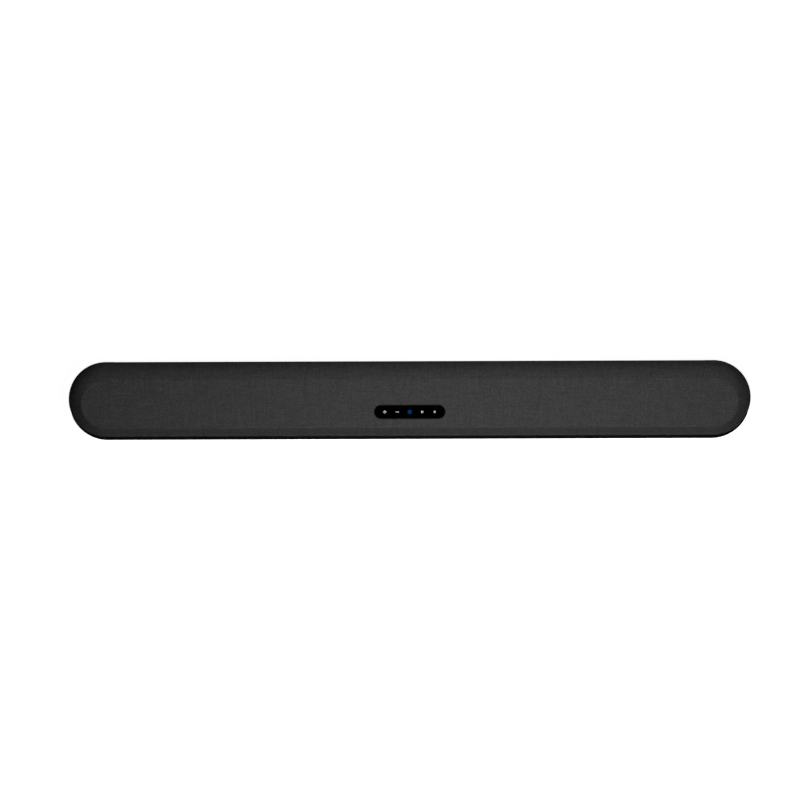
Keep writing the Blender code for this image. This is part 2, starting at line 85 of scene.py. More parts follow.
# The touch panel
PANEL_LOW, PANEL_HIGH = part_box("touch_panel")
PANEL_LENGTH = PANEL_HIGH.x - PANEL_LOW.x
PANEL_WIDTH = PANEL_HIGH.y - PANEL_LOW.y
PANEL_Y = (PANEL_HIGH.y + PANEL_LOW.y) / 2
PANEL_TOP = PANEL_HIGH.z
DOT_RADIUS = 1.6 * MM
ICON_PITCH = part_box("dot_light_inner")[0].x + DOT_RADIUS


def slot_outline(length, width, steps=24, centre=(0.0, 0.0)):
    """A slot shape along X, anticlockwise."""
    radius = width / 2
    reach = length / 2 - radius
    points = []
    for side, start in ((1, -90), (-1, 90)):
        middle_x = centre[0] + side * reach
        for step in range(steps + 1):
            angle = math.radians(start + 180 * step / steps)
            points.append((middle_x + radius * math.cos(angle), centre[1] + radius * math.sin(angle)))
    return points


def circle(radius, steps=48, centre=(0.0, 0.0)):
    turn = [math.tau * step / steps for step in range(steps)]
    return [(centre[0] + radius * math.cos(a), centre[1] + radius * math.sin(a)) for a in turn]


def rounded_box(left, right, bottom, top, radius, steps=5):
    """A rectangle with round corners, anticlockwise from its lower right."""
    points = []
    corners = ((right, bottom, -90), (right, top, 0), (left, top, 90), (left, bottom, 180))
    for x, y, start in corners:
        centre_x = x - radius if x == right else x + radius
        centre_y = y - radius if y == top else y + radius
        for step in range(steps + 1):
            angle = math.radians(start + 90 * step / steps)
            points.append((centre_x + radius * math.cos(angle), centre_y + radius * math.sin(angle)))
    return points


def level(outline, z):
    return [(x, y, z) for x, y in outline]


def upright(outline, y):
    """An outline of (x, z) points, stood up at one y."""
    return [(x, y, z) for x, z in outline]


def loft(rings, joined=False):
    """A body through rings of points: capped at both ends, or joined end to end."""
    shape = bmesh.new()
    loops = [[shape.verts.new(point) for point in ring] for ring in rings]
    pairs = list(zip(loops, loops[1:]))
    if joined:
        pairs.append((loops[-1], loops[0]))
    else:
        shape.faces.new(loops[0])
        shape.faces.new(loops[-1])
    for low, high in pairs:
        for index in range(len(low)):
            after = (index + 1) % len(low)
            shape.faces.new((low[index], low[after], high[after], high[index]))
    bmesh.ops.recalc_face_normals(shape, faces=shape.faces)
    return shape


def prism(outline, bottom, top):
    return loft([level(outline, bottom), level(outline, top)])


def rear_prism(outline, front, rear):
    return loft([upright(outline, front), upright(outline, rear)])


def block(low, high):
    outline = [(low[0], low[1]), (high[0], low[1]), (high[0], high[1]), (low[0], high[1])]
    return prism(outline, low[2], high[2])


def turned(profile, steps=48, centre=(0.0, 0.0), joined=False):
    """A body of revolution about an upright axis from (radius, z) points."""
    return loft([level(circle(radius, steps, centre), z) for radius, z in profile], joined)


def add_mesh(name, shape):
    mesh = bpy.data.meshes.new(name)
    shape.to_mesh(mesh)
    shape.free()
    obj = bpy.data.objects.new(name, mesh)
    bpy.context.scene.collection.objects.link(obj)
    return obj


def merge(shapes):
    """Several separate bodies in one bmesh."""
    result = bmesh.new()
    for shape in shapes:
        mesh = bpy.data.meshes.new("piece")
        shape.to_mesh(mesh)
        shape.free()
        result.from_mesh(mesh)
        bpy.data.meshes.remove(mesh)
    return result


def evaluated(obj):
    """The object's mesh with its modifiers applied, as a new bmesh; the object is removed."""
    result = bmesh.new()
    result.from_object(obj, bpy.context.evaluated_depsgraph_get())
    mesh = obj.data
    bpy.data.objects.remove(obj)
    bpy.data.meshes.remove(mesh)
    return result


def combine(shape, tool, operation):
    """Boolean of two shapes, which are both used up."""
    target = add_mesh("target", shape)
    cutter = add_mesh("cutter", tool)
    modifier = target.modifiers.new("combine", "BOOLEAN")
    modifier.operation = operation
    modifier.object = cutter
    result = evaluated(target)
    mesh = cutter.data
    bpy.data.objects.remove(cutter)
    bpy.data.meshes.remove(mesh)
    bmesh.ops.remove_doubles(result, verts=result.verts, dist=0.001 * MM)
    return result


def cut(shape, *tools):
    return combine(shape, merge(tools), "DIFFERENCE")


def fuse(shape, *tools):
    return combine(shape, merge(tools), "UNION")


def piece(name, shape, material, replaces=(), body=CABINET, slot=None, bevel=0.0, sharp=35):
    """A finished piece: its material, its body, the nodes it stands for and softened edges."""
    obj = add_mesh(name, shape)
    obj.data.materials.append(material)
    obj.data.shade_smooth()
    obj.data.set_sharp_from_angle(angle=math.radians(sharp))
    if bevel:
        modifier = obj.modifiers.new("soft_edges", "BEVEL")
        modifier.width = bevel
        modifier.segments = 3
        modifier.limit_method = "ANGLE"
        modifier.angle_limit = math.radians(sharp)
        modifier.harden_normals = True
    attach(obj, body)
    if replaces:
        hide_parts(*replaces)
    return obj


# Materials

YARN_PITCH = 0.9 * MM
CLOTH_DARK = (0.014, 0.014, 0.0145)
CLOTH_MIDDLE = (0.042, 0.042, 0.0425)
CLOTH_PALE = (0.1, 0.1, 0.101)


class Finish:
    """A Principled material and the node tree that feeds it."""

    def __init__(self, name, roughness, metallic=0.0):
        self.material = bpy.data.materials.new(name)
        self.material.use_nodes = True
        self.tree = self.material.node_tree
        self.shader = self.tree.nodes["Principled BSDF"]
        self.shader.inputs["Roughness"].default_value = roughness
        self.shader.inputs["Metallic"].default_value = metallic

    def node(self, kind, **settings):
        made = self.tree.nodes.new(kind)
        for key, value in settings.items():
            if hasattr(made, key):
                setattr(made, key, value)
            else:
                made.inputs[key.replace("_", " ")].default_value = value
        return made

    def link(self, source, target):
        self.tree.links.new(source, target)

    def math(self, operation, a, b=None):
        """A Math node; a and b are sockets or numbers."""
        made = self.tree.nodes.new("ShaderNodeMath")
        made.operation = operation
        for index, value in enumerate((a, b)):
            if value is None:
                continue
            if isinstance(value, (int, float)):
                made.inputs[index].default_value = value
            else:
                self.link(value, made.inputs[index])
        return made.outputs[0]

    def noise(self, scale, detail=2.0, stretch=(1.0, 1.0, 1.0), vector=None):
        """Noise over the object's own coordinates, in 1/m."""
        if vector is None:
            vector = self.node("ShaderNodeTexCoord").outputs["Object"]
        mapping = self.node("ShaderNodeMapping")
        mapping.inputs["Scale"].default_value = stretch
        self.link(vector, mapping.inputs["Vector"])
        made = self.node("ShaderNodeTexNoise", Scale=scale, Detail=detail)
        self.link(mapping.outputs["Vector"], made.inputs["Vector"])
        return made.outputs["Fac"]

    def spread(self, value, low, high, start=0.3, end=0.7):
        """The value taken from start..end to low..high."""
        made = self.node("ShaderNodeMapRange")
        made.inputs["From Min"].default_value = start
        made.inputs["From Max"].default_value = end
        made.inputs["To Min"].default_value = low
        made.inputs["To Max"].default_value = high
        self.link(value, made.inputs["Value"])
        return made.outputs["Result"]

    def ramp(self, value, *stops):
        """Colours along 0..1 as (place, (r, g, b)) stops."""
        made = self.node("ShaderNodeValToRGB")
        elements = made.color_ramp.elements
        while len(elements) < len(stops):
            elements.new(0.5)
        for element, (place, colour) in zip(elements, stops):
            element.position = place
            element.color = (*colour, 1.0)
        self.link(value, made.inputs["Fac"])
        return made.outputs["Color"]

    def colour(self, socket):
        self.link(socket, self.shader.inputs["Base Color"])

    def roughness(self, socket):
        self.link(socket, self.shader.inputs["Roughness"])

    def bump(self, height, distance, strength=1.0):
        made = self.node("ShaderNodeBump")
        made.inputs["Strength"].default_value = strength
        made.inputs["Distance"].default_value = distance
        self.link(height, made.inputs["Height"])
        self.link(made.outputs["Normal"], self.shader.inputs["Normal"])


def shade(colour, factor):
    return tuple(min(1.0, channel * factor) for channel in colour)


def moulded(name, colour, rough=(0.45, 0.6), grain=1500.0, depth=0.03 * MM):
    """Moulded plastic with a fine eroded grain and slightly uneven gloss."""
    finish = Finish(name, rough[0])
    fine = finish.noise(grain, 3.0)
    broad = finish.noise(18.0, 2.0)
    finish.colour(finish.ramp(broad, (0.3, shade(colour, 0.85)), (0.7, shade(colour, 1.15))))
    finish.roughness(finish.spread(finish.math("ADD", fine, finish.math("MULTIPLY", broad, 0.3)), *rough))
    finish.bump(fine, depth, 0.6)
    return finish.material


def brushed(name, colour, rough=(0.25, 0.4)):
    """Metal with fine streaks along X."""
    finish = Finish(name, rough[0], 1.0)
    streaks = finish.noise(900.0, 3.0, (0.05, 1.0, 1.0))
    finish.colour(finish.ramp(streaks, (0.3, shade(colour, 0.85)), (0.7, shade(colour, 1.1))))
    finish.roughness(finish.spread(streaks, *rough))
    finish.bump(streaks, 0.01 * MM, 0.4)
    return finish.material


def speaker_cloth():
    """Dark grey melange cloth in plain weave: each crossing has its own tone, over streaky yarns; the gaps
    between the yarns are darkened with painted shade.
    """
    finish = Finish("speaker_cloth", 0.92)
    vector = finish.node("ShaderNodeUVMap", uv_map="cloth").outputs["UV"]
    apart = finish.node("ShaderNodeSeparateXYZ")
    finish.link(vector, apart.inputs["Vector"])
    drift = finish.math("SUBTRACT", finish.noise(220.0, vector=vector), 0.5)
    wobble = finish.math("MULTIPLY", drift, 1.1)
    turns = []
    for axis in ("X", "Y"):
        pitches = finish.math("MULTIPLY", apart.outputs[axis], 1 / YARN_PITCH)
        turns.append(finish.math("ADD", pitches, wobble))
    waves = [finish.math("SINE", finish.math("MULTIPLY", turn, math.pi)) for turn in turns]
    yarns = []
    for along, across, side in ((waves[0], waves[1], 0.5), (waves[1], waves[0], -0.5)):
        over = finish.math("MULTIPLY", finish.math("MULTIPLY", finish.math("SIGN", along), across), side)
        round_yarn = finish.math("ABSOLUTE", along)
        yarns.append(finish.math("MULTIPLY", round_yarn, finish.math("ADD", over, 0.5)))
    weave = finish.math("MAXIMUM", *yarns)
    crossing = finish.node("ShaderNodeCombineXYZ")
    for turn, axis in zip(turns, ("X", "Y")):
        finish.link(finish.math("FLOOR", turn), crossing.inputs[axis])
    fleck = finish.node("ShaderNodeTexWhiteNoise", noise_dimensions="2D")
    finish.link(crossing.outputs["Vector"], fleck.inputs["Vector"])
    fibres = finish.noise(2600.0, vector=vector)
    warp = finish.noise(420.0, 1.0, (1.0, 0.06, 1.0), vector)
    weft = finish.noise(420.0, 1.0, (0.06, 1.0, 1.0), vector)
    clumps = finish.noise(480.0, 1.0, vector=vector)
    # The weave's height also sets the colour: yarn tops lighter and the gaps between yarns darker, as
    # painted shade.
    tone = finish.math("ADD", finish.math("MULTIPLY", weave, 0.3), 0.19)
    for value, weight in ((fleck.outputs["Value"], 0.19), (clumps, 0.15), (warp, 0.12), (weft, 0.12)):
        tone = finish.math("ADD", tone, finish.math("MULTIPLY", value, weight))
    finish.colour(finish.ramp(tone, (0.3, CLOTH_DARK), (0.6, CLOTH_MIDDLE), (0.95, CLOTH_PALE)))
    finish.bump(finish.math("ADD", weave, finish.math("MULTIPLY", fibres, 0.5)), 0.12 * MM, 0.7)
    finish.shader.inputs["Sheen Weight"].default_value = 0.01
    finish.shader.inputs["Sheen Roughness"].default_value = 0.5
    finish.shader.inputs["Specular IOR Level"].default_value = 0.12
    return finish.material


def gloss_black():
    """Piano-black panel with a trace of fine wiping marks."""
    finish = Finish("gloss_black", 0.06)
    wiped = finish.noise(60.0, 4.0, (1.0, 6.0, 1.0))
    finish.colour(finish.ramp(wiped, (0.3, (0.0001, 0.0001, 0.0001)), (0.7, (0.0004, 0.0004, 0.0004))))
    finish.roughness(finish.spread(wiped, 0.04, 0.09))
    finish.shader.inputs["Specular IOR Level"].default_value = 0.25
    return finish.material


def lit(name, colour, glow, strength):
    """A light pipe's window: slightly cloudy coloured plastic with an even glow."""
    finish = Finish(name, 0.25)
    haze = finish.noise(900.0, 2.0)
    finish.colour(finish.ramp(haze, (0.3, shade(colour, 0.9)), (0.7, shade(colour, 1.1))))
    finish.shader.inputs["Emission Color"].default_value = (*glow, 1.0)
    finish.shader.inputs["Emission Strength"].default_value = strength
    return finish.material


def rubber():
    finish = Finish("foot_rubber", 0.8)
    dust = finish.noise(500.0, 4.0)
    finish.colour(finish.ramp(dust, (0.35, (0.014, 0.014, 0.014)), (0.75, (0.03, 0.03, 0.029))))
    finish.roughness(finish.spread(dust, 0.7, 0.9))
    finish.bump(finish.noise(1800.0, 2.0), 0.04 * MM, 0.6)
    return finish.material


def solder_mask():
    """A green board, with the paler lines of its copper under the mask."""
    finish = Finish("solder_mask", 0.35)
    vector = finish.node("ShaderNodeTexCoord").outputs["Object"]
    lines = finish.node("ShaderNodeTexBrick", offset=0.35, Scale=60.0)
    lines.inputs["Color1"].default_value = (0.006, 0.07, 0.03, 1.0)
    lines.inputs["Color2"].default_value = (0.008, 0.09, 0.04, 1.0)
    lines.inputs["Mortar"].default_value = (0.02, 0.17, 0.08, 1.0)
    lines.inputs["Mortar Size"].default_value = 0.012
    finish.link(vector, lines.inputs["Vector"])
    finish.colour(lines.outputs["Color"])
    finish.bump(lines.outputs["Fac"], 0.03 * MM, 0.5)
    return finish.material


def pressed_paper():
    finish = Finish("pressed_paper", 0.85)
    pulp = finish.noise(700.0, 4.0)
    finish.colour(finish.ramp(pulp, (0.3, (0.018, 0.018, 0.018)), (0.7, (0.045, 0.045, 0.043))))
    finish.bump(pulp, 0.06 * MM, 0.7)
    return finish.material


CLOTH = speaker_cloth()
BLACK_PLASTIC = moulded("black_plastic", (0.045, 0.045, 0.046))
TRIM_PLASTIC = moulded("trim_plastic", (0.0045, 0.0045, 0.0045), (0.2, 0.28), 2200.0, 0.004 * MM)
# A paler copy of the black plastic for the connector pocket: painted light against the pocket's shade.
BAY_PLASTIC_PAINTED_LIGHT = moulded("bay_plastic_painted_light", (0.07, 0.07, 0.072))
INNER_PLASTIC = moulded("inner_plastic", (0.02, 0.02, 0.021), (0.5, 0.65))
BEZEL_PLASTIC = moulded("bezel_plastic", (0.006, 0.006, 0.006), (0.3, 0.4), 2200.0, 0.01 * MM)
SOCKET_PLASTIC = moulded("socket_plastic", (0.006, 0.006, 0.006), (0.3, 0.4))
LABEL_FOIL = moulded("label_foil", (0.03, 0.03, 0.031), (0.3, 0.4), 900.0, 0.01 * MM)
TAPE = moulded("winding_tape", (0.5, 0.35, 0.05), (0.4, 0.6), 300.0)
FLAT_CABLE = moulded("flat_cable", (0.5, 0.5, 0.48), (0.4, 0.5), 300.0)
FERRITE = moulded("ferrite", (0.05, 0.05, 0.052), (0.5, 0.7), 600.0, 0.06 * MM)
ZINC = brushed("zinc_steel", (0.35, 0.35, 0.37), (0.35, 0.5))
NICKEL = brushed("nickel_steel", (0.62, 0.61, 0.58))
GILT = brushed("gilt_contacts", (0.75, 0.53, 0.2))
ALUMINIUM = brushed("aluminium", (0.55, 0.55, 0.57))
RUBBER = rubber()
GLOSS = gloss_black()
BOARD = solder_mask()
PAPER = pressed_paper()
BLUE_GLOW = lit("blue_glow", (0.0, 0.01, 0.04), (0.0, 0.2, 1.0), 0.15)
BLUE_CORE = lit("blue_core", (0.0, 0.005, 0.02), (0.0, 0.2, 1.0), 0.07)
WHITE_GLOW = lit("white_glow", (0.3, 0.3, 0.3), (1.0, 1.0, 1.0), 0.19)
# The minus mark is a print, no lamp: its glow is painted light.
GREY_PRINT_PAINTED_GLOW = lit("grey_print_painted_glow", (0.3, 0.3, 0.3), (1.0, 1.0, 1.0), 0.07)


# The cloth cover


def cover_plan():
    """Stations round the cover: the x of each one's centre, and its outward direction's cosine and sine."""
    stations = []
    for side, start in ((1, -90), (-1, 90)):
        for step in range(END_STEPS + 1):
            angle = math.radians(start + 180 * step / END_STEPS)
            stations.append((side * END_X, math.cos(angle), math.sin(angle)))
        for step in range(1, STRAIGHT_STEPS):
            x = side * END_X * (1 - 2 * step / STRAIGHT_STEPS)
            stations.append((x, 0.0, float(side)))
    return stations


def facet_share(sine):
    """Share of the rim that is a plain slope, from all of it at the front to REAR_FACET at the rear."""
    return REAR_FACET + (1 - REAR_FACET) * (1 - sine) / 2


def front_share(sine):
    """1 along the straight front, fading to 0 on the way round the ends."""
    return max(0.0, -sine) ** LEDGE_FADE


def rim_point(sine, along, width):
    """(distance out from the crease, height) at a share of the way from the crease to the shoulder."""
    drop = FABRIC_TOP - SHOULDER_Z
    share = facet_share(sine)
    fall = share * along + (1 - share) * along**ROUNDNESS
    bend = 1 - LEDGE_WIDTH / width
    fall_at_bend = 1 - LEDGE_WIDTH * math.tan(LEDGE_SLOPE) / drop
    if along < bend:
        ledge_fall = fall_at_bend * along / bend
    else:
        ledge_fall = fall_at_bend + (1 - fall_at_bend) * (along - bend) / (1 - bend)
    ledge = front_share(sine)
    return (width * along, FABRIC_TOP - drop * ((1 - ledge) * fall + ledge * ledge_fall))


def rounded(start, corner, end, steps):
    """Points along a quadratic curve that rounds a corner, ends included."""
    points = []
    for step in range(steps + 1):
        t = step / steps
        weights = ((1 - t) ** 2, 2 * t * (1 - t), t * t)
        points.append(tuple(sum(w * p[i] for w, p in zip(weights, (start, corner, end))) for i in (0, 1)))
    return points


def section(sine, width):
    """The cover's section at one station, from just inside the crease down to the hem."""
    ledge = front_share(sine)
    fillet = (1 - ledge) * SHOULDER_FILLET + ledge * LEDGE_FILLET
    first = CREASE_FILLET / width
    last = 1 - fillet / width
    start = rim_point(sine, first, width)
    points = rounded((-CREASE_FILLET, FABRIC_TOP), (0.0, FABRIC_TOP), start, FILLET_STEPS)
    for step in range(1, RIM_STEPS):
        along = math.sin(math.pi / 2 * step / RIM_STEPS)
        points.append(rim_point(sine, first + (last - first) * along, width))
    end = rim_point(sine, last, width)
    points += rounded(end, (width, SHOULDER_Z), (width, SHOULDER_Z - fillet), FILLET_STEPS)
    for share in WALL_RINGS:
        points.append((width, SHOULDER_Z - fillet + (HEM_Z - SHOULDER_Z + fillet) * share))
    return points


def add_cover_surface(shape, uv):
    """Rings from the middle of the flat top over the rim down to the hem, unrolled flat in the UVs."""
    columns = []
    for centre, cosine, sine in cover_plan():
        crease = (centre + CREASE_RADIUS * cosine, CREASE_Y + CREASE_RADIUS * sine)
        outer = (centre + END_RADIUS * cosine, END_Y + END_RADIUS * sine)
        width = math.dist(crease, outer)
        out = ((outer[0] - crease[0]) / width, (outer[1] - crease[1]) / width)
        column = []
        for share in TOP_RINGS:
            reach = CREASE_RADIUS * share
            spot = (centre + reach * cosine, CREASE_Y + reach * sine)
            column.append(((*spot, FABRIC_TOP), spot))
        length = 0.0
        before = None
        for distance, z in section(sine, width):
            if before is not None:
                length += math.dist(before, (distance, z))
            else:
                length = distance
            before = (distance, z)
            spot = (crease[0] + out[0] * distance, crease[1] + out[1] * distance)
            flat = (crease[0] + cosine * length, crease[1] + sine * length)
            column.append(((*spot, z), flat))
        columns.append([(shape.verts.new(place), flat) for place, flat in column])
    shape.faces.new([column[0][0] for column in columns])
    for index, column in enumerate(columns):
        after = columns[(index + 1) % len(columns)]
        for row in range(len(column) - 1):
            corners = (column[row], column[row + 1], after[row + 1], after[row])
            shape.faces.new([corner[0] for corner in corners])
    bmesh.ops.recalc_face_normals(shape, faces=shape.faces)
    flat_of = {vert: flat for column in columns for vert, flat in column}
    for face in shape.faces:
        for corner in face.loops:
            corner[uv].uv = flat_of[corner.vert]


def build_cover():
    """The cloth: one sheet stretched over the frame, cut away for the rear panels and the touch panel."""
    shape = bmesh.new()
    add_cover_surface(shape, shape.loops.layers.uv.new("cloth"))
    sheet = add_mesh("cover_sheet", shape)
    thicken = sheet.modifiers.new("thickness", "SOLIDIFY")
    thicken.thickness = CLOTH_THICK
    thicken.offset = -1.0
    thicken.use_even_offset = True
    shape = evaluated(sheet)
    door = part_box("rear_panel_right")[1].x + CLOTH_GAP
    doorway = block((-door, REAR_Y - DOORWAY_DEEP, 0), (door, REAR_Y + BEYOND, SHOULDER_Z))
    hole = slot_outline(PANEL_LENGTH + 2 * CLOTH_GAP, PANEL_WIDTH + 2 * CLOTH_GAP, centre=(0, PANEL_Y))
    shape = cut(shape, doorway, prism(hole, FABRIC_TOP - BEYOND, FABRIC_TOP + BEYOND))
    cover = piece("cover_cloth", shape, CLOTH, ("fabric_cover",), slot="fabric", sharp=50)


# The touch panel and its marks

EDGE_ROUND = 0.3 * MM
GLASS_INSET = 0.7 * MM
GLASS_TOP = PANEL_TOP - 0.1 * MM
MARK_ARM = 2.3 * MM
MARK_HALF = 0.7 * MM
MARK_PROUD = 0.06 * MM
MARK_DEEP = 0.2 * MM


def build_touch_panel():
    def ring(inset, z):
        outline = slot_outline(PANEL_LENGTH - 2 * inset, PANEL_WIDTH - 2 * inset, centre=(0, PANEL_Y))
        return level(outline, z)

    rings = [ring(GLASS_INSET, PANEL_LOW.z)]
    for step in range(5):
        angle = math.pi / 2 * step / 4
        inset = GLASS_INSET + EDGE_ROUND * (1 - math.cos(angle))
        rings.append(ring(inset, GLASS_TOP - EDGE_ROUND * (1 - math.sin(angle))))
    rings.append(ring(GLASS_INSET + 2 * EDGE_ROUND, GLASS_TOP))
    piece("touch_glass", loft(rings), GLOSS, ("touch_panel",), slot="gloss_panel", sharp=60)
    bezel = [ring(0.0, PANEL_LOW.z)]
    for inset, fall in ((0.0, 0.4), (0.12, 0.12), (0.3, 0.0), (0.5, 0.08), (0.62, 0.3)):
        bezel.append(ring(inset * MM, PANEL_TOP - fall * MM))
    bezel.append(ring(0.62 * MM, PANEL_LOW.z))
    piece("touch_bezel", loft(bezel, joined=True), BEZEL_PLASTIC, slot="gloss_panel", sharp=60)


def disc(across, profile, steps=32, joined=False):
    """A round window from (radius, height over the glass) points in millimetres."""
    points = [(radius * MM, GLASS_TOP + height * MM) for radius, height in profile]
    return turned(points, steps, (across, PANEL_Y), joined)


def build_marks():
    """Thin windows and prints on the glass: plus, minus, status light and two dots."""

    def bar(centre_x, half_x, half_y, extra=0.0):
        low = (centre_x - half_x, PANEL_Y - half_y, GLASS_TOP - MARK_DEEP - 2 * extra)
        return block(low, (centre_x + half_x, PANEL_Y + half_y, GLASS_TOP + MARK_PROUD + extra))

    # The printed minus glows faintly: painted light.
    piece("mark_minus", bar(-ICON_PITCH, MARK_ARM, MARK_HALF), GREY_PRINT_PAINTED_GLOW, slot="white_light")
    x = -2 * ICON_PITCH
    plus = fuse(bar(x, MARK_ARM, MARK_HALF), bar(x, MARK_HALF, MARK_ARM, 0.005 * MM))
    piece("mark_plus", plus, WHITE_GLOW, slot="white_light")
    dot = ((1.6, -0.2), (1.6, 0.0), (1.3, 0.06), (0.5, 0.08))
    for name, node, step in (("dot_inner", "dot_light_inner", 1), ("dot_outer", "dot_light_outer", 2)):
        shape = disc(step * ICON_PITCH, dot)
        piece(name, shape, WHITE_GLOW, (node,), slot="white_light", sharp=60)
    ring = ((2.9, -0.2), (2.9, 0.0), (2.6, 0.06), (1.7, 0.06), (1.4, 0.0), (1.4, -0.2))
    shape = disc(0.0, ring, 48, joined=True)
    piece("status_ring", shape, BLUE_GLOW, ("status_light",), slot="blue_light", sharp=60)
    core = disc(0.0, ((1.3, -0.2), (1.3, 0.0), (1.0, 0.03)))
    piece("status_core", core, BLUE_CORE, slot="blue_light", sharp=60)


# The base

TRAY_LOW, TRAY_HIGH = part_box("base_tray")
TRIM_LOW, TRIM_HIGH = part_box("front_trim")
TRAY_TOP = TRIM_HIGH.z
TRAY_BOTTOM = TRAY_LOW.z
TRAY_WALL = 2.4 * MM
TRAY_FLOOR = TRAY_BOTTOM + 2.4 * MM
TRAY_EDGE = 1.8 * MM
REVEAL_HIGH = 1.5 * MM
REVEAL_DEEP = 0.5 * MM
TRIM_STEPS = 40
TRIM_TAPER = math.radians(16)  # how far before each end the strip begins to thin
TRIM_THINNED = 0.55
TRIM_GAP = 0.05 * MM
GROOVE = ((7.0, -1.0), (7.9, -1.0), (7.7, 0.6), (7.2, 0.6))  # (inset, height) of the seam line, in mm
LABEL = (190 * MM, 270 * MM, -17 * MM, 17 * MM)
LABEL_RADIUS = 3 * MM
LABEL_INSET = 0.5 * MM
VENT_BANKS = (-63 * MM, 58 * MM)
VENT_PITCH = 8 * MM
VENT_Y = -2.5 * MM
VENT_SIZE = (36 * MM, 2.6 * MM)
SOLE = ((1.1, 0.0), (0.5, 0.12), (0.15, 0.4), (0.0, 0.9))  # (inset, height) of a foot's edge, in mm
SCREW_HEAD = ((0.9, 0.0), (1.9, 0.12), (2.6, 0.42), (2.9, 0.75), (2.9, 1.0))  # (radius, height), in mm
SCREW_SHANK = ((1.5, 1.0), (1.5, 10.9), (1.0, 11.4))
RECESS_TAPER = 0.45
POST_X = (-96 * MM, -30 * MM, 20 * MM, 96 * MM)
POST_Y = (-30 * MM, 25 * MM)
POST_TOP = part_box("main_board")[0].z - 0.3 * MM
SCREWS = [f"base_screw_{number}" for number in range(1, 7)]
FEET = [f"foot_{edge}_{end}" for edge in ("front", "rear") for end in ("left", "right")]


def middle(node):
    low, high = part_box(node)
    return (low + high) / 2


def build_trim():
    """The strip along the foot of the front, from the bar's outline to the tray, thinned at both ends."""
    radius = -TRIM_LOW.y
    end_x = COVER_HIGH.x - radius
    tray_radius = (TRAY_HIGH.y - TRAY_LOW.y) / 2 + TRIM_GAP
    turn = math.asin((TRIM_HIGH.x - end_x) / radius)
    outer = []
    inner = []
    for step in range(-TRIM_STEPS, TRIM_STEPS + 1):
        if step == 0:
            continue
        side = math.copysign(1, step)
        angle = turn * (abs(step) - 1) / (TRIM_STEPS - 1)
        across, along = side * math.sin(angle), -math.cos(angle)
        back = (side * END_X + tray_radius * across, END_Y + tray_radius * along)
        out = (side * end_x + radius * across, radius * along)
        share = 1 - TRIM_THINNED * max(0.0, 1 - (turn - angle) / TRIM_TAPER) ** 2
        outer.append((back[0] + (out[0] - back[0]) * share, back[1] + (out[1] - back[1]) * share))
        inner.append(back)
    strip = prism(outer + inner[::-1], TRIM_LOW.z, TRIM_HIGH.z)
    piece("foot_strip", strip, TRIM_PLASTIC, ("front_trim",), slot="trim_plastic", bevel=0.3 * MM, sharp=30)


def tray_outline(inset):
    """The tray's plan, brought in."""
    width = TRAY_HIGH.y - TRAY_LOW.y
    return slot_outline(2 * (TRAY_HIGH.x - inset), width - 2 * inset, END_STEPS, (0.0, END_Y))


def tray_shell():
    """A shallow cup with a round bottom edge and a shadow line under the cloth's hem."""
    rings = []
    for step in range(6):
        angle = math.pi / 2 * step / 5
        inset = TRAY_EDGE * (1 - math.sin(angle))
        rings.append(level(tray_outline(inset), TRAY_BOTTOM + TRAY_EDGE * (1 - math.cos(angle))))
    rings.append(level(tray_outline(0), TRAY_TOP - REVEAL_HIGH))
    rings.append(level(tray_outline(REVEAL_DEEP), TRAY_TOP - REVEAL_HIGH))
    rings.append(level(tray_outline(REVEAL_DEEP), TRAY_TOP))
    rings.append(level(tray_outline(TRAY_WALL), TRAY_TOP))
    rings.append(level(tray_outline(TRAY_WALL), TRAY_FLOOR))
    return loft(rings)


def vent_slots():
    """Two banks of slots through the tray, one under each circuit board."""
    slots = []
    for bank in VENT_BANKS:
        for number in range(-3, 4):
            x = bank + VENT_PITCH * number
            outline = [(x - v, u + VENT_Y) for u, v in slot_outline(*VENT_SIZE, 8)]
            slots.append(prism(outline, TRAY_BOTTOM - BEYOND, TRAY_FLOOR + BEYOND))
    return slots


def screw_hole(x, y):
    """A sunk hole with a flared mouth."""
    profile = [(4.6 * MM, TRAY_BOTTOM - 1 * MM), (3.4 * MM, TRAY_BOTTOM + 0.3 * MM), (3.4 * MM, 3.9 * MM)]
    profile += [(1.9 * MM, 3.9 * MM), (1.9 * MM, TRAY_FLOOR + BEYOND)]
    return turned(profile, 32, (x, y))


def shifted(outline, x, y):
    return [(x + u, y + v) for u, v in outline]


def foot_rim(x, y):
    """A low bead moulded round a foot."""
    rings = []
    for size, height in ((40.0, 0.5), (39.2, -0.5), (37.6, -0.5), (36.8, 0.5)):
        outline = slot_outline(size * MM, (size - 22) * MM, 16, (x, y))
        rings.append(level(outline, TRAY_BOTTOM + height * MM))
    return loft(rings, joined=True)


def build_tray():
    posts = []
    for place in [(x, y) for x in POST_X for y in POST_Y]:
        posts.append(prism(circle(3 * MM, 24, place), TRAY_FLOOR - 1 * MM, POST_TOP))
    rims = [foot_rim(middle(foot).x, middle(foot).y) for foot in FEET]
    tray = fuse(tray_shell(), *posts, *rims)
    holes = [screw_hole(middle(screw).x, middle(screw).y) for screw in SCREWS]
    line = [level(tray_outline(inset * MM), TRAY_BOTTOM + height * MM) for inset, height in GROOVE]
    recess = prism(rounded_box(*LABEL, LABEL_RADIUS), TRAY_BOTTOM - BEYOND, TRAY_BOTTOM + 0.4 * MM)
    tray = cut(tray, *holes, *vent_slots(), loft(line, joined=True), recess)
    piece("tray_shell", tray, BLACK_PLASTIC, ("base_tray",), slot="black_plastic", sharp=40)
    left, right, front, rear = LABEL
    inset = LABEL_INSET
    plate = rounded_box(left + inset, right - inset, front + inset, rear - inset, LABEL_RADIUS - inset)
    plate = prism(plate, TRAY_BOTTOM + 0.15 * MM, TRAY_BOTTOM + 0.38 * MM)
    piece("blank_label", plate, LABEL_FOIL, slot="black_plastic", sharp=40)


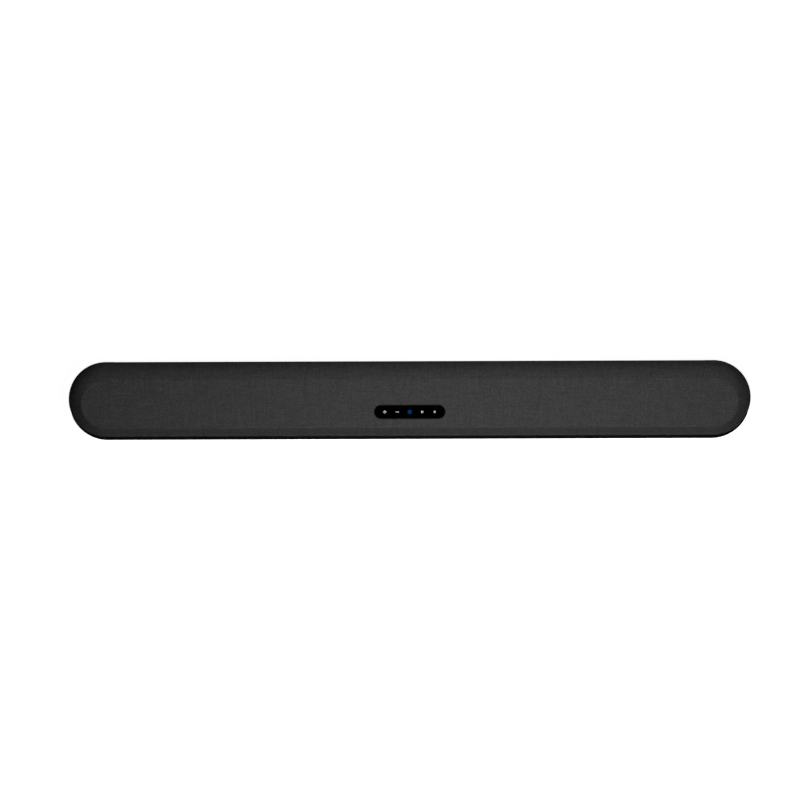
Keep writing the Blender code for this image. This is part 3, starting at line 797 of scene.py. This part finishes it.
def foot_ring(node, inset, height):
    """A foot's outline, brought in, at a height over the floor; both in millimetres."""
    low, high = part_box(node)
    length, width = high.x - low.x - 2 * inset * MM, high.y - low.y - 2 * inset * MM
    outline = slot_outline(length, width, 16, (middle(node).x, middle(node).y))
    return level(outline, low.z + height * MM)


def build_feet():
    """Rubber pads with a round lower edge and two grooves in the sole."""
    for node in FEET:
        low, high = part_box(node)
        rings = [foot_ring(node, inset, height) for inset, height in SOLE]
        rings.append(foot_ring(node, 0.0, (high.z - low.z) / MM))
        grooves = []
        for inset in (2.4, 4.6):
            section = ((inset, -1.0), (inset, 0.5), (inset + 0.7, 0.5), (inset + 0.7, -1.0))
            groove = [foot_ring(node, reach, height) for reach, height in section]
            grooves.append(loft(groove, joined=True))
        pad = cut(loft(rings), *grooves)
        piece(node.replace("foot", "rubber_pad"), pad, RUBBER, (node,), slot="rubber", sharp=40)


def build_screws():
    """Pan-head screws with a cross recess, heads down."""
    for number, node in enumerate(SCREWS, 1):
        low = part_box(node)[0]
        x, y = middle(node).x, middle(node).y
        profile = [(radius * MM, low.z + z * MM) for radius, z in SCREW_HEAD + SCREW_SHANK]
        screw = turned(profile, 32, (x, y))
        arms = []
        for half_x, half_y in ((1.8 * MM, 0.35 * MM), (0.35 * MM, 1.8 * MM)):
            arm = rounded_box(-half_x, half_x, -half_y, half_y, 0.2 * MM, 3)
            wide = level(shifted(arm, x, y), low.z - 1 * MM)
            narrow = [(x + RECESS_TAPER * u, y + RECESS_TAPER * v, low.z + 0.85 * MM) for u, v in arm]
            arms.append(loft([wide, narrow]))
        screw = cut(screw, fuse(*arms))
        piece(f"tray_screw_{number}", screw, NICKEL, (node,), slot="plated_steel", sharp=35)


# The rear: plates, connector bay and sockets

PANEL_EDGE = 0.5 * MM
PLATE_RADIUS = 1.6 * MM
FIELD_INSET = 3.4 * MM
FIELD_FLARE = 0.6 * MM
FIELD_DEEP = 0.6 * MM
SLOT_COUNT = 14
SLOT_X = 118 * MM
SLOT_PITCH = 4.6 * MM
SLOT_Z = 25.4 * MM
SLOT_SIZE = (17 * MM, 2.2 * MM)
KEYHOLE_X = 300 * MM
KEYHOLE_Z = 21 * MM
KEYHOLE_RADIUS = 4.6 * MM
KEYHOLE_SLOT = 4.8 * MM
KEYHOLE_RISE = 9 * MM
BAY_POCKET = (-100 * MM, 100 * MM, 14.6 * MM, 36.4 * MM)
BAY_FLOOR_Y = 35 * MM
SOCKETS = ("hdmi_port_left", "hdmi_port_right", "usb_port", "optical_port", "mains_inlet")
SOCKET_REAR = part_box("usb_port")[1].y
SOCKET_DEEP = 11 * MM
INLET_DEEP = 11.5 * MM
INLET_PINS = ((1.2, -0.3), (1.2, 7.6), (1.05, 8.1), (0.6, 8.5))  # (radius, height over the floor), in mm


def keyhole(x, grow=0.0):
    """A round hole with a slot rising from it, as (x, z) points."""
    radius = KEYHOLE_RADIUS + grow
    half = KEYHOLE_SLOT / 2 + grow
    lean = math.asin(half / radius)
    points = []
    for step in range(33):
        angle = math.pi / 2 + lean + (math.tau - 2 * lean) * step / 32
        points.append((x + radius * math.cos(angle), KEYHOLE_Z + radius * math.sin(angle)))
    for step in range(17):
        angle = math.pi * step / 16
        points.append((x + half * math.cos(angle), KEYHOLE_Z + KEYHOLE_RISE + half * math.sin(angle)))
    return points


def face_outline(low, high, radius, inset=0.0):
    """The (x, z) outline of a box seen from the rear, brought in, with round corners."""
    return rounded_box(low.x + inset, high.x - inset, low.z + inset, high.z - inset, radius)


def rear_plate(outline, front, rear, edge):
    """A plate that faces the rear with a rounded edge; outline(inset) gives its (x, z) points."""
    rings = [upright(outline(0), front)]
    for step in range(5):
        angle = math.pi / 2 * step / 4
        rings.append(upright(outline(edge * (1 - math.cos(angle))), rear - edge * (1 - math.sin(angle))))
    return loft(rings)


def build_rear_plates():
    for side, end in ((-1, "left"), (1, "right")):
        low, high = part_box(f"rear_panel_{end}")
        outline = partial(face_outline, low, high, PLATE_RADIUS)
        wide, narrow = outline(FIELD_INSET - FIELD_FLARE), outline(FIELD_INSET)
        field = loft([upright(narrow, high.y - FIELD_DEEP), upright(wide, high.y + 1 * MM)])
        x = side * KEYHOLE_X
        hole = rear_prism(keyhole(x), low.y - BEYOND, high.y + BEYOND)
        flare = loft([upright(keyhole(x), high.y - 1.2 * MM), upright(keyhole(x, 1.0 * MM), high.y)])
        slots = []
        for number in range(SLOT_COUNT):
            slot_x = side * (SLOT_X + SLOT_PITCH * number)
            bar = [(slot_x - v, SLOT_Z + u) for u, v in slot_outline(*SLOT_SIZE, 6)]
            slots.append(rear_prism(bar, low.y - BEYOND, high.y + BEYOND))
        plate = cut(rear_plate(outline, low.y, high.y, PANEL_EDGE), field)
        plate = cut(plate, fuse(hole, flare), *slots)
        replaced = (f"rear_panel_{end}",)
        piece(f"rear_plate_{end}", plate, BLACK_PLASTIC, replaced, slot="black_plastic", sharp=40)


def socket_window(node, grow):
    return face_outline(*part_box(node), grow + 0.3 * MM, -grow)


def build_bay():
    """A pocket with soft corners, and a low frame round each socket's window."""
    low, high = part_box("connector_bay")

    def mouth(inset):
        left, right, bottom, top = BAY_POCKET
        return rounded_box(left + inset, right - inset, bottom + inset, top - inset, 3 * MM)

    outline = partial(face_outline, low, high, PLATE_RADIUS)
    rings = [upright(outline(0), low.y), upright(outline(0), high.y - PANEL_EDGE)]
    rings.append(upright(outline(PANEL_EDGE), high.y))
    for inset, y in ((-0.8, high.y), (-0.2, high.y - 0.3 * MM), (0.0, high.y - 0.9 * MM)):
        rings.append(upright(mouth(inset * MM), y))
    for inset, rise in ((0.0, 1.0), (0.3, 0.3), (1.0, 0.0)):
        rings.append(upright(mouth(inset * MM), BAY_FLOOR_Y + rise * MM))
    frames = []
    windows = []
    for node in SOCKETS:
        proud, deep = BAY_FLOOR_Y + 0.4 * MM, BAY_FLOOR_Y - 0.5 * MM
        frames.append(rear_prism(socket_window(node, 1.3 * MM), deep, proud))
        windows.append(rear_prism(socket_window(node, 0.25 * MM), low.y - BEYOND, BAY_FLOOR_Y + 2 * MM))
    bay = fuse(loft(rings), *frames)
    piece("port_bay", cut(bay, *windows), BAY_PLASTIC_PAINTED_LIGHT, ("connector_bay",), slot="black_plastic", sharp=40)


def tongue(name, centre, half, bottom, top, floor, rear):
    """The plastic tongue that holds a socket's contacts."""
    outline = rounded_box(centre.x - half, centre.x + half, centre.z + bottom, centre.z + top, 0.3 * MM)
    piece(name, rear_prism(outline, floor, rear), SOCKET_PLASTIC, slot="black_plastic")


def socket(name, node, material, slot, mouth, depth, radius):
    """A socket's body with a flared mouth let into its rear; mouth(grow) gives its (x, z) points."""
    low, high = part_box(node)
    outline = partial(face_outline, low, high, radius)
    body = rear_plate(outline, low.y, high.y, 0.25 * MM)
    well = [upright(mouth(0), high.y - depth), upright(mouth(0), high.y - 0.3 * MM)]
    well.append(upright(mouth(0.35 * MM), high.y + 0.05 * MM))
    well.append(upright(mouth(0.35 * MM), high.y + BEYOND))
    piece(name, cut(body, loft(well)), material, (node,), slot=slot, sharp=40)


def build_hdmi(node):
    centre = middle(node)
    end = node.split("_")[-1]

    def mouth(grow):
        half = 7.1 * MM + grow
        high = 2.45 * MM + grow
        notch = 1.5 * MM
        outline = [(-half, high), (-half, notch - high), (notch - half, -high)]
        outline += [(half - notch, -high), (half, notch - high), (half, high)]
        return shifted(outline[::-1], centre.x, centre.z)

    socket(f"hdmi_shell_{end}", node, NICKEL, "plated_steel", mouth, SOCKET_DEEP, 0.6 * MM)
    floor = SOCKET_REAR - SOCKET_DEEP - 0.3 * MM
    tongue(f"hdmi_tongue_{end}", centre, 5.8 * MM, -0.1 * MM, 1.0 * MM, floor, SOCKET_REAR - 2 * MM)
    contacts = []
    for number in range(10):
        x = centre.x + (number - 4.5) * 1.05 * MM
        low = (x - 0.25 * MM, floor + 0.5 * MM, centre.z - 0.2 * MM)
        contacts.append(block(low, (x + 0.25 * MM, SOCKET_REAR - 2.6 * MM, centre.z - 0.11 * MM)))
    piece(f"hdmi_contacts_{end}", merge(contacts), GILT, slot="plated_steel")


def build_usb():
    centre = middle("usb_port")

    def mouth(grow):
        half = 6.3 * MM + grow
        high = 2.65 * MM + grow
        return shifted(rounded_box(-half, half, -high, high, 0.5 * MM + grow), centre.x, centre.z)

    socket("usb_shell", "usb_port", NICKEL, "plated_steel", mouth, SOCKET_DEEP, 0.8 * MM)
    floor = SOCKET_REAR - SOCKET_DEEP - 0.3 * MM
    tongue("usb_tongue", centre, 5.6 * MM, 0.2 * MM, 2.0 * MM, floor, SOCKET_REAR - 1.2 * MM)
    contacts = []
    for number in range(4):
        x = centre.x + (number - 1.5) * 2.4 * MM
        low = (x - 0.5 * MM, floor + 0.5 * MM, centre.z + 0.08 * MM)
        contacts.append(block(low, (x + 0.5 * MM, SOCKET_REAR - 2.2 * MM, centre.z + 0.19 * MM)))
    piece("usb_contacts", merge(contacts), GILT, slot="plated_steel")


def build_optical():
    centre = middle("optical_port")

    def mouth(grow):
        half = 3.1 * MM + grow
        clip = 1.1 * MM
        outline = [(half, -half), (half, half - clip), (half - clip, half)]
        outline += [(clip - half, half), (-half, half - clip), (-half, -half)]
        return shifted(outline, centre.x, centre.z)

    socket("optical_shell", "optical_port", SOCKET_PLASTIC, "black_plastic", mouth, 9 * MM, 1 * MM)
    leaf = SOCKET_REAR - 1.6 * MM
    flap = rear_plate(lambda inset: mouth(-0.15 * MM - inset), leaf - 0.8 * MM, leaf, 0.15 * MM)
    window = turned([(1.5 * MM, -0.1 * MM), (1.5 * MM, 0.25 * MM), (1.2 * MM, 0.4 * MM)], 32)
    bmesh.ops.rotate(window, verts=window.verts, matrix=Matrix.Rotation(math.radians(-90), 3, "X"))
    bmesh.ops.translate(window, verts=window.verts, vec=(centre.x, leaf, centre.z))
    piece("optical_shutter", fuse(flap, window), INNER_PLASTIC, slot="black_plastic", sharp=40)


def build_inlet():
    """A figure-eight mains inlet with two round pins."""
    centre = middle("mains_inlet")

    def mouth(grow):
        radius = 4.7 * MM + grow
        waist = 3.7 * MM + grow
        turn = math.pi - math.asin(waist / radius)
        outline = []
        for side, start in ((1, -turn), (-1, math.pi - turn)):
            for step in range(25):
                angle = start + 2 * turn * step / 24
                outline.append((side * 3.8 * MM + radius * math.cos(angle), radius * math.sin(angle)))
        return shifted(outline, centre.x, centre.z)

    socket("inlet_shell", "mains_inlet", SOCKET_PLASTIC, "black_plastic", mouth, INLET_DEEP, 2.2 * MM)
    pins = []
    floor = SOCKET_REAR - INLET_DEEP
    for side in (-1, 1):
        place = (centre.x + side * 4.3 * MM, centre.z)
        rings = [upright(circle(radius * MM, 24, place), floor + rise * MM) for radius, rise in INLET_PINS]
        pins.append(loft(rings))
    piece("inlet_pins", merge(pins), NICKEL, slot="plated_steel", sharp=50)


def build_sockets():
    for node in ("hdmi_port_left", "hdmi_port_right"):
        build_hdmi(node)
    build_usb()
    build_optical()
    build_inlet()


def carry_over():
    """The CAD nodes that show as they are, or lie inside, with their materials."""
    finishes = {
        "grille_frame": INNER_PLASTIC,
        "base_tray": BLACK_PLASTIC,
        "rear_panel": BLACK_PLASTIC,
        "connector_bay": BLACK_PLASTIC,
        "front_baffle": INNER_PLASTIC,
        "speaker_box": INNER_PLASTIC,
        "keyhole_cup": ZINC,
        "touch_gasket": RUBBER,
        "touch_board": BOARD,
        "main_board": BOARD,
        "power_board": BOARD,
        "transformer": TAPE,
        "reservoir_capacitor": ALUMINIUM,
        "heat_sink": ALUMINIUM,
        "ribbon_cable": FLAT_CABLE,
        "hdmi_port": NICKEL,
        "usb_port": NICKEL,
        "optical_port": SOCKET_PLASTIC,
        "mains_inlet": SOCKET_PLASTIC,
        "woofer_basket": ZINC,
        "woofer_magnet": FERRITE,
        "woofer_surround": RUBBER,
        "woofer_cone": PAPER,
        "tweeter_housing": INNER_PLASTIC,
        "tweeter_dome": PAPER,
        "foot_": RUBBER,
        "base_screw": NICKEL,
        "front_trim": TRIM_PLASTIC,
        "touch_panel": GLOSS,
        "fabric_cover": CLOTH,
        "status_light": BLUE_GLOW,
        "dot_light": WHITE_GLOW,
    }
    for name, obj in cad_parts.items():
        material = next(finish for start, finish in finishes.items() if name.startswith(start))
        for holder in obj.material_slots:
            holder.link = "OBJECT"
            holder.material = material


# The studio: lamps that light the bar, and boxes that only show in glossy faces

TABLE_REACH = 6.0
TABLE_GLOW = 0.97
KEY_PLACE = (0.13, -0.31, 1.0)
KEY_SIZE = (0.5, 0.25)
KEY_POWER = 9.7
WALL_LIGHT = 0.04
CEILING_LIGHT = 0.01
UNDER_PLACE = (0.0, 0.0, -1.5)
UNDER_SIZE = (2.4, 1.2)
UNDER_POWER = 50.0
REAR_PLACE = (0.0, 1.05, -1.1)
REAR_SIZE = (2.0, 0.5)
REAR_POWER = 12.0
BOX_DISTANCE = 2.2
BOX_HEIGHT = 2.2
BOX_SIZE = (2.4, 0.8)
BOX_POWER = 7.0


def build_stage():
    """A white table that glows, so that it stays pale; it is seen from above only, and stops no light."""
    finish = Finish("white_table", 0.9)
    finish.shader.inputs["Base Color"].default_value = (0.9, 0.9, 0.9, 1.0)
    finish.shader.inputs["Emission Color"].default_value = (1.0, 1.0, 1.0, 1.0)
    finish.shader.inputs["Emission Strength"].default_value = TABLE_GLOW
    side = finish.node("ShaderNodeNewGeometry")
    clear = finish.node("ShaderNodeBsdfTransparent")
    mixed = finish.node("ShaderNodeMixShader")
    finish.link(side.outputs["Backfacing"], mixed.inputs["Fac"])
    finish.link(finish.shader.outputs["BSDF"], mixed.inputs[1])
    finish.link(clear.outputs["BSDF"], mixed.inputs[2])
    finish.link(mixed.outputs["Shader"], finish.tree.nodes["Material Output"].inputs["Surface"])
    table = bmesh.new()
    outline = rounded_box(-TABLE_REACH, TABLE_REACH, -TABLE_REACH, TABLE_REACH, 1.0)
    table.faces.new([table.verts.new(corner) for corner in level(outline, 0.0)])
    floor = add_mesh("table_top", table)
    floor.data.materials.append(finish.material)
    floor.visible_diffuse = False
    floor.visible_glossy = False
    floor.visible_shadow = False


def add_area(name, place, target, size, power):
    light = bpy.data.lights.new(name, "AREA")
    light.shape = "RECTANGLE"
    light.size, light.size_y = size
    light.energy = power
    obj = bpy.data.objects.new(name, light)
    obj.location = place
    obj.rotation_euler = (Vector(target) - Vector(place)).to_track_quat("-Z", "Y").to_euler()
    bpy.context.scene.collection.objects.link(obj)
    return obj


def build_world():
    """A dim room, darkest overhead."""
    world = bpy.data.worlds.new("studio")
    world.use_nodes = True
    nodes = world.node_tree.nodes
    links = world.node_tree.links
    direction = nodes.new("ShaderNodeTexCoord")
    apart = nodes.new("ShaderNodeSeparateXYZ")
    links.new(direction.outputs["Generated"], apart.inputs["Vector"])
    ramp = nodes.new("ShaderNodeValToRGB")
    stops = ((0.1, WALL_LIGHT), (0.9, CEILING_LIGHT))
    for element, (place, grey) in zip(ramp.color_ramp.elements, stops):
        element.position = place
        element.color = (grey, grey, grey, 1.0)
    links.new(apart.outputs["Z"], ramp.inputs["Fac"])
    links.new(ramp.outputs["Color"], nodes["Background"].inputs["Color"])
    bpy.context.scene.world = world


def build_lights():
    """A soft lamp overhead, a little to the front and right, weaker ones below and low behind,
    and four panels that only glossy faces show.
    """
    build_world()
    lamps = (
        add_area("key", KEY_PLACE, (KEY_PLACE[0], 0.0, 0.0), KEY_SIZE, KEY_POWER),
        add_area("under", UNDER_PLACE, (0.0, 0.0, 0.0), UNDER_SIZE, UNDER_POWER),
        add_area("rear", REAR_PLACE, (0.0, 0.0, 0.0), REAR_SIZE, REAR_POWER),
    )
    for lamp in lamps:
        lamp.visible_glossy = False
    for number in range(4):
        across, along = math.sin(math.tau * number / 4), -math.cos(math.tau * number / 4)
        place = (BOX_DISTANCE * across, BOX_DISTANCE * along, BOX_HEIGHT)
        panel = add_area(f"panel_{number}", place, (0.0, 0.0, 0.0), BOX_SIZE, BOX_POWER)
        panel.visible_diffuse = False
    bpy.context.scene.view_settings.view_transform = "Standard"


CAMERA_DISTANCE = 15.0
CAMERA_AIM = Vector((-13.9 * MM, -0.6 * MM, SHOULDER_Z))
CAMERA_TILT = math.radians(2.3)
CAMERA_ROLL = math.radians(-0.19)
VIEW_WIDTH = 1149.5 * MM  # seen across the picture at the aim
SENSOR = 36.0


def build_camera():
    data = bpy.data.cameras.new("camera")
    data.sensor_width = SENSOR
    data.lens = SENSOR * CAMERA_DISTANCE / VIEW_WIDTH
    data.clip_end = 100.0
    camera = bpy.data.objects.new("camera", data)
    turn = Euler((CAMERA_TILT, 0.0, CAMERA_ROLL))
    camera.rotation_euler = turn
    camera.location = CAMERA_AIM + turn.to_matrix() @ Vector((0.0, 0.0, CAMERA_DISTANCE))
    bpy.context.scene.collection.objects.link(camera)
    bpy.context.scene.camera = camera


carry_over()
build_cover()
build_touch_panel()
build_marks()
build_trim()
build_tray()
build_feet()
build_screws()
build_rear_plates()
build_bay()
build_sockets()
build_stage()
build_lights()
build_camera()
